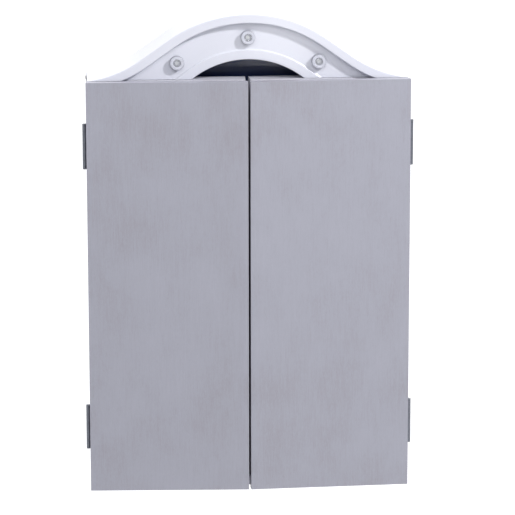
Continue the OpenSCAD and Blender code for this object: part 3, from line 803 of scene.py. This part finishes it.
def makePlateTree():
    # a flat outline with a hexagonal field of holes, thickened, stood up and repeated round the middle
    tree, given, start, sink = newTree("perforatedPlate", {
        "Inner Radius": "Float", "Outer Radius": "Float", "Half Angle": "Float",
        "Margin": "Float", "Pitch": "Float", "Hole Radius": "Float", "Hole Sides": "Int", "Rows": "Int",
        "Thickness": "Float", "Repeats": "Int", "Turn": "Float", "Even Material": "Material",
        "Odd Material": "Material"})
    outline = start.node("GeometryNodeMeshToCurve", None, {"Mesh": given["Geometry"]})
    rows = given["Rows"]
    pitch = given["Pitch"]
    field = start.node("GeometryNodeMeshGrid", None, {
        "Size X": pitch * 0.866 * (rows - 1), "Size Y": pitch * (rows - 1), "Vertices X": rows,
        "Vertices Y": rows})
    column = start.calc("FLOOR", start.node("GeometryNodeInputIndex") / rows)
    shift = start.calc("MODULO", column, 2.0) * pitch * 0.5
    middle = (given["Inner Radius"] + given["Outer Radius"]) * 0.5
    moved = start.node("GeometryNodeSetPosition", None, {
        "Geometry": field, "Offset": start.xyz(Y=shift + middle)})
    place = start.node("GeometryNodeInputPosition")
    reach = start.node("ShaderNodeVectorMath", {"operation": "LENGTH"}, {0: place}, out=1)
    across = start.node("ShaderNodeSeparateXYZ", None, {"Vector": place})
    sine = start.calc("SINE", given["Half Angle"])
    cosine = start.calc("COSINE", given["Half Angle"])
    inset = across.also(1) * sine - start.calc("ABSOLUTE", across) * cosine
    kept = (inset > given["Margin"]) * (reach > given["Inner Radius"] + given["Margin"]) * (
        reach < given["Outer Radius"] - given["Margin"])
    centres = start.node("GeometryNodeDeleteGeometry", {"domain": "POINT"},
                         {"Geometry": moved, "Selection": 1 - kept})
    circle = start.node("GeometryNodeCurvePrimitiveCircle", None,
                        {"Resolution": given["Hole Sides"], "Radius": given["Hole Radius"]})
    holes = start.node("GeometryNodeInstanceOnPoints", None, {"Points": centres, "Instance": circle})
    holes = start.node("GeometryNodeRealizeInstances", None, {"Geometry": holes})
    curves = start.gather("GeometryNodeJoinGeometry", outline, holes)
    flat = start.node("GeometryNodeFillCurve", None, {"Curve": curves})
    raised = start.node("GeometryNodeExtrudeMesh", None,
                        {"Mesh": flat, "Offset Scale": given["Thickness"], "Individual": False})
    under = start.node("GeometryNodeFlipFaces", None, {"Mesh": flat})
    solid = start.node("GeometryNodeMergeByDistance", None, {
        "Geometry": start.gather("GeometryNodeJoinGeometry", raised, under), "Distance": 0.002 * mm})
    upright = start.node("GeometryNodeTransform", None,
                         {"Geometry": solid, "Rotation": (math.radians(90), 0, 0)})
    order = start.node("GeometryNodeInputIndex")
    ring = start.node("GeometryNodePoints", None, {"Count": given["Repeats"]})
    turned = start.node("GeometryNodeInstanceOnPoints", None, {
        "Points": ring, "Instance": upright,
        "Rotation": start.xyz(Y=order * given["Turn"])})
    marked = start.node("GeometryNodeStoreNamedAttribute", {"data_type": "FLOAT", "domain": "INSTANCE"}, {
        "Geometry": turned, "Name": "oddOne", "Value": start.calc("MODULO", order, 2.0)})
    real = start.node("GeometryNodeRealizeInstances", None, {"Geometry": marked})
    even = start.node("GeometryNodeSetMaterial", None, {"Geometry": real, "Material": given["Even Material"]})
    odd = start.node("GeometryNodeInputNamedAttribute", {"data_type": "FLOAT"}, {"Name": "oddOne"})
    dressed = start.node("GeometryNodeSetMaterial", None, {
        "Geometry": even, "Selection": odd > 0.5, "Material": given["Odd Material"]})
    tree.links.new(dressed.socket, sink.inputs["Geometry"])
    return tree


def makeScrewTree():
    # a screw with a domed, cross-recessed head on every vertex, along the vertex's own axis
    tree, given, start, sink = newTree("crossScrews", {
        "Head Radius": "Float", "Head Height": "Float", "Dome Radius": "Float", "Shank Radius": "Float",
        "Length": "Float", "Slot Width": "Float", "Slot Span": "Float", "Slot Depth": "Float", "Seed": "Int",
        "Material": "Material"})
    height = given["Head Height"]
    disc = start.node("GeometryNodeMeshCylinder", None, {
        "Vertices": 28, "Radius": given["Head Radius"], "Depth": height})
    disc = start.node("GeometryNodeTransform", None, {
        "Geometry": disc, "Translation": start.xyz(Z=height * 0.5)})
    dome = start.node("GeometryNodeMeshUVSphere", None, {
        "Segments": 64, "Rings": 96, "Radius": given["Dome Radius"]})
    dome = start.node("GeometryNodeTransform", None, {
        "Geometry": dome, "Translation": start.xyz(Z=height - given["Dome Radius"])})
    head = start.gather("GeometryNodeMeshBoolean", disc, dome, settings={"operation": "INTERSECT"},
                        socket="Mesh 2")
    shank = start.node("GeometryNodeMeshCylinder", None, {
        "Vertices": 20, "Radius": given["Shank Radius"], "Depth": given["Length"]})
    shank = start.node("GeometryNodeTransform", None, {
        "Geometry": shank, "Translation": start.xyz(Z=height - given["Length"] * 0.5 - 0.02 * mm)})
    long = start.xyz(X=given["Slot Span"], Y=given["Slot Width"], Z=given["Slot Depth"] * 2.0)
    wide = start.xyz(X=given["Slot Width"], Y=given["Slot Span"], Z=given["Slot Depth"] * 2.0)
    cross = start.gather("GeometryNodeMeshBoolean", start.node("GeometryNodeMeshCube", None, {"Size": long}),
                         start.node("GeometryNodeMeshCube", None, {"Size": wide}),
                         settings={"operation": "UNION"}, socket="Mesh 2")
    cross = start.node("GeometryNodeTransform", None, {
        "Geometry": cross, "Translation": start.xyz(Z=height)})
    cut = start.node("GeometryNodeMeshBoolean", {"operation": "DIFFERENCE"}, {"Mesh 1": head, "Mesh 2": cross})
    screw = start.gather("GeometryNodeJoinGeometry", cut, shank)
    axis = start.node("GeometryNodeInputNamedAttribute", {"data_type": "FLOAT_VECTOR"}, {"Name": "axis"})
    aligned = start.node("FunctionNodeAlignRotationToVector", {"axis": "Z"}, {"Vector": axis})
    spin = start.node("FunctionNodeRandomValue", {"data_type": "FLOAT"}, {
        2: 0.0, 3: math.pi, "Seed": given["Seed"]}, out=1)
    spun = start.node("FunctionNodeRotateRotation", {"rotation_space": "LOCAL"}, {
        "Rotation": aligned, "Rotate By": start.xyz(Z=spin)})
    placed = start.node("GeometryNodeInstanceOnPoints", None, {
        "Points": given["Geometry"], "Instance": screw, "Rotation": spun})
    close(start, placed, given["Material"], sink)
    return tree


plateTree = makePlateTree()
screwTree = makeScrewTree()


# ---- screws

def looseParts(node):
    # vertex lists of the separate solids of a CAD node
    shell = weldedNode(node)
    seen = set()
    parts = []
    for seed in shell.verts:
        if seed.index in seen:
            continue
        stack = [seed]
        members = []
        seen.add(seed.index)
        while stack:
            vert = stack.pop()
            members.append(vert.co.copy())
            for edge in vert.link_edges:
                other = edge.other_vert(vert)
                if other.index not in seen:
                    seen.add(other.index)
                    stack.append(other)
        parts.append(members)
    shell.free()
    return parts


def screwPlaces(node, axis, frameTurn):
    # head centres and outward directions of screws that lie along one axis of the closed frame
    back = frameTurn.inverted()
    places = []
    for members in looseParts(node):
        points = [back @ p for p in members]
        low, high = boxOf(points)
        middle = (low + high) / 2
        spread = [max((p - middle).length for p in points if abs(p[axis] - end) < 0.01 * mm)
                  - abs(end - middle[axis]) for end in (low[axis], high[axis])]
        outward = Vector((0, 0, 0))
        outward[axis] = -1 if spread[0] > spread[1] else 1
        middle[axis] = low[axis] if spread[0] > spread[1] else high[axis]
        places.append((frameTurn @ middle, frameTurn.to_3x3() @ outward))
    return places


doorScrew = {"axis": 1, "head": 2.7, "shank": 1.4, "length": 11, "height": 0.9, "dome": 14}
screwKinds = {
    "cabinet_screws": {"axis": 0, "head": 4.0, "shank": 2.0, "length": 38, "height": 3.0, "dome": 26,
                       "seed": 3},
    "fascia_screws": {"axis": 1, "head": 3.2, "shank": 1.6, "length": 13.8, "height": 1.8, "dome": 4.2,
                      "seed": 5},
    "hood_screws": {"axis": 2, "head": 3.8, "shank": 2.0, "length": 20.4, "height": 2.4, "dome": 4.8,
                    "seed": 8},
    "left_door_screws": {**doorScrew, "seed": 9},
    "right_door_screws": {**doorScrew, "seed": 11},
    "hinge_frame_screws": {**doorScrew, "seed": 14},
}


def makeScrews(node, kind):
    side = node.split("_")[0] if "door_screws" in node else None
    turn = ajarTurn(side) if side else Matrix.Identity(4)
    places = screwPlaces(node, kind["axis"], turn)
    height = kind["height"] * mm
    verts = [place - outward * height for place, outward in places]
    piece = meshObject(node + "Crossed", verts, [])
    layer = piece.data.attributes.new("axis", "FLOAT_VECTOR", "POINT")
    for i, (place, outward) in enumerate(places):
        layer.data[i].vector = outward
    grow(piece, screwTree, {
        "Head Radius": kind["head"] * mm, "Head Height": height, "Dome Radius": kind["dome"] * mm,
        "Shank Radius": kind["shank"] * mm, "Length": kind["length"] * mm,
        "Slot Width": kind["head"] * 0.26 * mm, "Slot Span": kind["head"] * 1.25 * mm,
        "Slot Depth": min(1.4, kind["height"] * 0.6) * mm,
        "Seed": kind["seed"], "Material": materials["zincSteel"]})
    smooth(piece, 25)
    return settle(piece, node)


for node, kind in screwKinds.items():
    makeScrews(node, kind)
print("screws set")


# ---- hinges

for node in ["left_door_leaves", "right_door_leaves", "left_frame_leaves", "right_frame_leaves"]:
    roundedCopy(node, "hingeSteel", 0.25 * mm, 2)
for node in ["left_hinge_pins", "right_hinge_pins"]:
    roundedCopy(node, "zincSteel", 0.5 * mm, 3)
for node in ["left_strike_plate", "right_strike_plate"]:
    roundedCopy(node, "zincSteel", 0.2 * mm, 2)
roundedCopy("magnet_catches", "catchBrown", 0.6 * mm, 2)
for node in ["left_dart_rack", "right_dart_rack"]:
    roundedCopy(node, "blackPlastic", 1.0 * mm, 3)
print("hinges and door fittings made")


# ---- scoring segments

segments = {
    "double_segments": {"pitch": 4.4, "hole": 1.35, "even": "segmentRed", "odd": "segmentGreen"},
    "outer_single_segments": {"pitch": 5.0, "hole": 1.5, "even": "segmentBlack", "odd": "segmentIvory"},
    "triple_segments": {"pitch": 4.4, "hole": 1.35, "even": "segmentRed", "odd": "segmentGreen"},
    "inner_single_segments": {"pitch": 5.0, "hole": 1.5, "even": "segmentBlack", "odd": "segmentIvory"},
}


def frontOutline(node):
    # corners of the front face that lies on the upright through the middle
    shell = weldedNode(node)
    bmesh.ops.dissolve_limit(shell, angle_limit=math.radians(0.5), verts=shell.verts, edges=shell.edges)
    fronts = [f for f in shell.faces if f.normal.y < -0.99 and f.calc_center_median().z > 0]
    best = min(fronts, key=lambda f: abs(f.calc_center_median().x))
    corners = [v.co.copy() for v in best.verts]
    shell.free()
    return corners


def makeSegments(node, look, repeats=20, sides=8):
    low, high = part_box(node)
    corners = frontOutline(node)
    radii = [math.hypot(c.x, c.z) for c in corners]
    mesh = bpy.data.meshes.new(node)
    count = len(corners)
    mesh.from_pydata([(c.x, c.z, 0) for c in corners], [(i, (i + 1) % count) for i in range(count)], [])
    piece = newObject(node + "Perforated", mesh)
    grow(piece, plateTree, {
        "Inner Radius": min(radii), "Outer Radius": max(radii), "Half Angle": math.pi / repeats,
        "Margin": (look["hole"] + 1.3) * mm, "Pitch": look["pitch"] * mm,
        "Hole Radius": look["hole"] * mm, "Hole Sides": sides,
        "Rows": int(1.25 * max(radii) / look["pitch"] / mm),
        "Thickness": high.y - low.y, "Repeats": repeats, "Turn": 2 * math.pi / repeats,
        "Even Material": materials[look["even"]], "Odd Material": materials[look["odd"]]})
    for vert in piece.data.vertices:
        vert.co.y += high.y
    return settle(piece, node)


for node, look in segments.items():
    makeSegments(node, look)
roundedCopy("bull_ring", "segmentGreen", 0.5 * mm, 2)
roundedCopy("bull_centre", "segmentRed", 0.8 * mm, 3)
roundedCopy("spider_web", "webSilver", 0.4 * mm, 2)
roundedCopy("catch_ring", "blackPlastic", 0.6 * mm, 3)
print("segments perforated")


# ---- numbers

numerals = {"size": 19 * mm, "rise": 0.35 * mm, "order": [20, 1, 18, 4, 13, 6, 10, 15, 2, 17, 3, 19, 7, 16, 8,
                                                      11, 14, 9, 12, 5]}


def makeNumbers():
    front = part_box("number_ring")[0].y
    ring = easedMesh("number_ring", 0.4 * mm, 2)
    setMaterial(ring, "blackPlastic")
    radii = [math.hypot(v.co.x, v.co.z) for v in nodes["number_ring"].data.vertices]
    middle = (min(radii) + max(radii)) / 2
    pieces = [ring]
    for i, number in enumerate(numerals["order"]):
        angle = math.radians(18 * i)
        mesh = numeralFlat(str(number))
        mesh.transform(Matrix.Translation((middle * math.sin(angle), front, middle * math.cos(angle)))
                       @ Matrix.Rotation(math.radians(90), 4, "X"))
        pieces.append(setMaterial(newObject("numeral", mesh), "numberWhite"))
    settle(joined("numberedRing", pieces), "number_ring")


def numeralFlat(text):
    words = bpy.data.curves.new("numeral", "FONT")
    words.body = text
    words.size = numerals["size"]
    words.extrude = numerals["rise"]
    words.resolution_u = 3
    words.align_x = "CENTER"
    words.align_y = "CENTER"
    holder = newObject("numeral", words)
    graph = bpy.context.evaluated_depsgraph_get()
    graph.update()
    mesh = bpy.data.meshes.new_from_object(holder.evaluated_get(graph))
    bpy.data.objects.remove(holder)
    bpy.data.curves.remove(words)
    return mesh


makeNumbers()
print("numbers raised")


# ---- front panel and controls

roundedCopy("fascia", "navyPlastic", 0.5 * mm, 2)
for node in ["button_start", "button_game", "button_option", "button_player", "button_score"]:
    roundedCopy(node, "buttonGrey", 0.9 * mm, 4)
roundedCopy("button_power", "buttonRed", 0.9 * mm, 4)
roundedCopy("display_window", "smokedWindow", 0.4 * mm, 2)
roundedCopy("power_inlet", "blackPlastic", 0.4 * mm, 2)
roundedCopy("hood_back_cover", "coverWhite", 0.4 * mm, 2)
roundedCopy("target_backplate", "blackPlastic", 0.4 * mm, 1)
roundedCopy("sensor_pad", "padRubber", 0.2 * mm, 1)
roundedCopy("sensor_sheet", "filmGrey", 0.05 * mm, 1)
roundedCopy("speaker_grille", "navyPlastic", 0.25 * mm, 1)


# ---- circuit boards

def makePartsTree():
    # chips, resistors and solder dots scattered over a board, standing off it along one axis
    tree, given, start, sink = newTree("boardParts", {
        "Columns": "Int", "Rows": "Int", "Width": "Float", "Height": "Float", "Share": "Float",
        "Small": "Vector", "Large": "Vector", "Seed": "Int", "Material": "Material"})
    field = start.node("GeometryNodeMeshGrid", None, {
        "Size X": given["Width"], "Size Y": given["Height"], "Vertices X": given["Columns"],
        "Vertices Y": given["Rows"]})
    draw = start.node("FunctionNodeRandomValue", {"data_type": "FLOAT"},
                      {2: 0.0, 3: 1.0, "Seed": given["Seed"]}, out=1)
    kept = start.node("GeometryNodeDeleteGeometry", {"domain": "POINT"},
                      {"Geometry": field, "Selection": draw > given["Share"]})
    size = start.node("FunctionNodeRandomValue", {"data_type": "FLOAT_VECTOR"}, {
        0: given["Small"], 1: given["Large"], "Seed": given["Seed"] + 4})
    cube = start.node("GeometryNodeMeshCube", None, {"Size": (1.0, 1.0, 1.0)})
    raisedCube = start.node("GeometryNodeTransform", None, {"Geometry": cube, "Translation": (0.0, 0.0, 0.5)})
    placed = start.node("GeometryNodeInstanceOnPoints", None, {
        "Points": kept, "Instance": raisedCube, "Scale": size})
    upright = start.node("GeometryNodeTransform", None,
                         {"Geometry": placed, "Rotation": (math.radians(90), 0, 0)})
    close(start, upright, given["Material"], sink)
    return tree


partsTree = makePartsTree()
chips = {
    "blackPlastic": {"share": 0.16, "small": (6, 5, 1.6), "large": (12, 8, 2.4), "seed": 3},
    "moduleGrey": {"share": 0.35, "small": (2, 1.2, 0.7), "large": (4, 2.4, 1.4), "seed": 21},
    "zincSteel": {"share": 0.4, "small": (1, 1, 0.3), "large": (1.6, 1.6, 0.5), "seed": 33},
}


pressRoom = 4 * mm


def clearPresses(piece, presses):
    # takes away the parts that stand where a button comes down
    cut = bmesh.new()
    cut.from_mesh(piece.data)
    gone = set()
    for vert in cut.verts:
        if any(low.x - pressRoom < vert.co.x < high.x + pressRoom
               and low.z - pressRoom < vert.co.z < high.z + pressRoom for low, high in presses):
            gone.add(vert)
    spread = list(gone)
    while spread:
        for edge in spread.pop().link_edges:
            for other in edge.verts:
                if other not in gone:
                    gone.add(other)
                    spread.append(other)
    bmesh.ops.delete(cut, geom=list(gone), context="VERTS")
    cut.to_mesh(piece.data)
    cut.free()


def makeCircuit(node):
    # the board with parts on its front side, kept within the board's outline
    low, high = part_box(node)
    pieces = [setMaterial(easedMesh(node, 0.15 * mm, 1), "circuitGreen")]
    presses = [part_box(name) for name in nodes if name.startswith("button_")]
    width = (high.x - low.x) - 26 * mm
    height = (high.z - low.z) - 18 * mm
    for material, look in chips.items():
        piece = meshObject("parts", [(0, 0, 0)], [])
        grow(piece, partsTree, {
            "Columns": int(width / mm / 11), "Rows": max(2, int(height / mm / 9)), "Width": width,
            "Height": height, "Share": look["share"], "Small": [v * mm for v in look["small"]],
            "Large": [v * mm for v in look["large"]], "Seed": look["seed"], "Material": materials[material]})
        for vert in piece.data.vertices:
            vert.co += Vector(((low.x + high.x) / 2, low.y, (low.z + high.z) / 2))
        clearPresses(piece, presses)
        pieces.append(piece)
    settle(joined(node + "Populated", pieces), node)


makeCircuit("control_board")


def makeLampBoards():
    # small round boards, each with a clear diode standing on its middle
    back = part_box("lamp_boards")[1].y
    piece = setMaterial(easedMesh("lamp_boards", 0.3 * mm, 2), "circuitGreen", "diodeClear")
    for face in piece.data.polygons:
        face.material_index = int(face.center.y < back - 1.9 * mm)
    settle(piece, "lamp_boards")


makeLampBoards()


# ---- display and speaker

display = {"digit": (11 * mm, 20 * mm), "bar": 2.0 * mm, "slant": 0.08,
           "digits": (-78, -64, -50, -8, 8, 50, 64, 78)}


def barOutline(start, end, half):
    # a hexagonal bar between two points
    along = (end - start).normalized()
    across = Vector((-along.y, along.x)) * half
    first = start + along * half
    last = end - along * half
    return [start, first + across, last + across, end, last - across, first - across]


def makeDisplay():
    low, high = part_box("display_module")
    middleZ = (low.z + high.z) / 2
    wide, tall = (value / 2 for value in display["digit"])
    gap = 0.4 * mm
    ends = [((-wide, tall), (wide, tall)), ((wide, tall), (wide, 0)), ((wide, 0), (wide, -tall)),
            ((-wide, -tall), (wide, -tall)), ((-wide, -tall), (-wide, 0)), ((-wide, 0), (-wide, tall)),
            ((-wide, 0), (wide, 0))]
    verts = []
    faces = []
    for centre in display["digits"]:
        for first, last in ends:
            first = Vector(first)
            last = Vector(last)
            inset = (last - first).normalized() * gap
            outline = barOutline(first + inset, last - inset, display["bar"] / 2)
            begin = len(verts)
            verts += [(p.x + p.y * display["slant"] + centre * mm, low.y - 0.15 * mm, p.y + middleZ)
                      for p in outline]
            faces.append(tuple(range(begin, begin + len(outline))))
    bars = setMaterial(meshObject("bars", verts, faces), "digitAmber")
    addModifier(bars, "SOLIDIFY", {"thickness": 0.3 * mm, "offset": 0})
    applied(bars)
    body = setMaterial(easedMesh("display_module", 0.4 * mm, 2), "blackPlastic")
    settle(joined("digitDisplay", [body, bars]), "display_module")


def makeSpeaker():
    # a pressed basket with a ribbed paper cone and a dust cap
    low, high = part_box("speaker")
    centre = Vector(((low.x + high.x) / 2, 0, (low.z + high.z) / 2))
    radius = (high.x - low.x) / 2
    front = -low.y
    back = -high.y
    cone = [(0, front - 5 * mm), (radius * 0.12, front - 4.6 * mm), (radius * 0.24, front - 5.6 * mm),
            (radius * 0.25, front - 6.4 * mm)]
    for i in range(9):
        share = 0.3 + 0.055 * i
        rib = (0.3 if i % 2 else -0.1) * mm
        cone.append((radius * share, front - 6.2 * mm + 5.2 * mm * (share - 0.25) / 0.55 + rib))
    depth = front - back
    cone += [(radius * 0.80, front - 1.2 * mm), (radius * 0.85, front - 0.4 * mm),
             (radius * 0.90, front - 1.2 * mm), (radius * 0.92, front), (radius, front),
             (radius, front - 2 * mm), (radius * 0.86, front - 3 * mm), (radius * 0.5, front - 0.62 * depth),
             (radius * 0.5, back + 0.4 * mm), (radius * 0.48, back), (0, back)]
    piece = smooth(lathe("paperCone", cone, centre, 56), 32)
    settle(setMaterial(piece, "speakerPaper"), "speaker")


makePlastic("digitAmber", srgb(120, 52, 40), 0.4)
makePlastic("speakerPaper", srgb(38, 37, 36), 0.7, 500.0)
makeDisplay()
makeSpeaker()
print("electronics made")
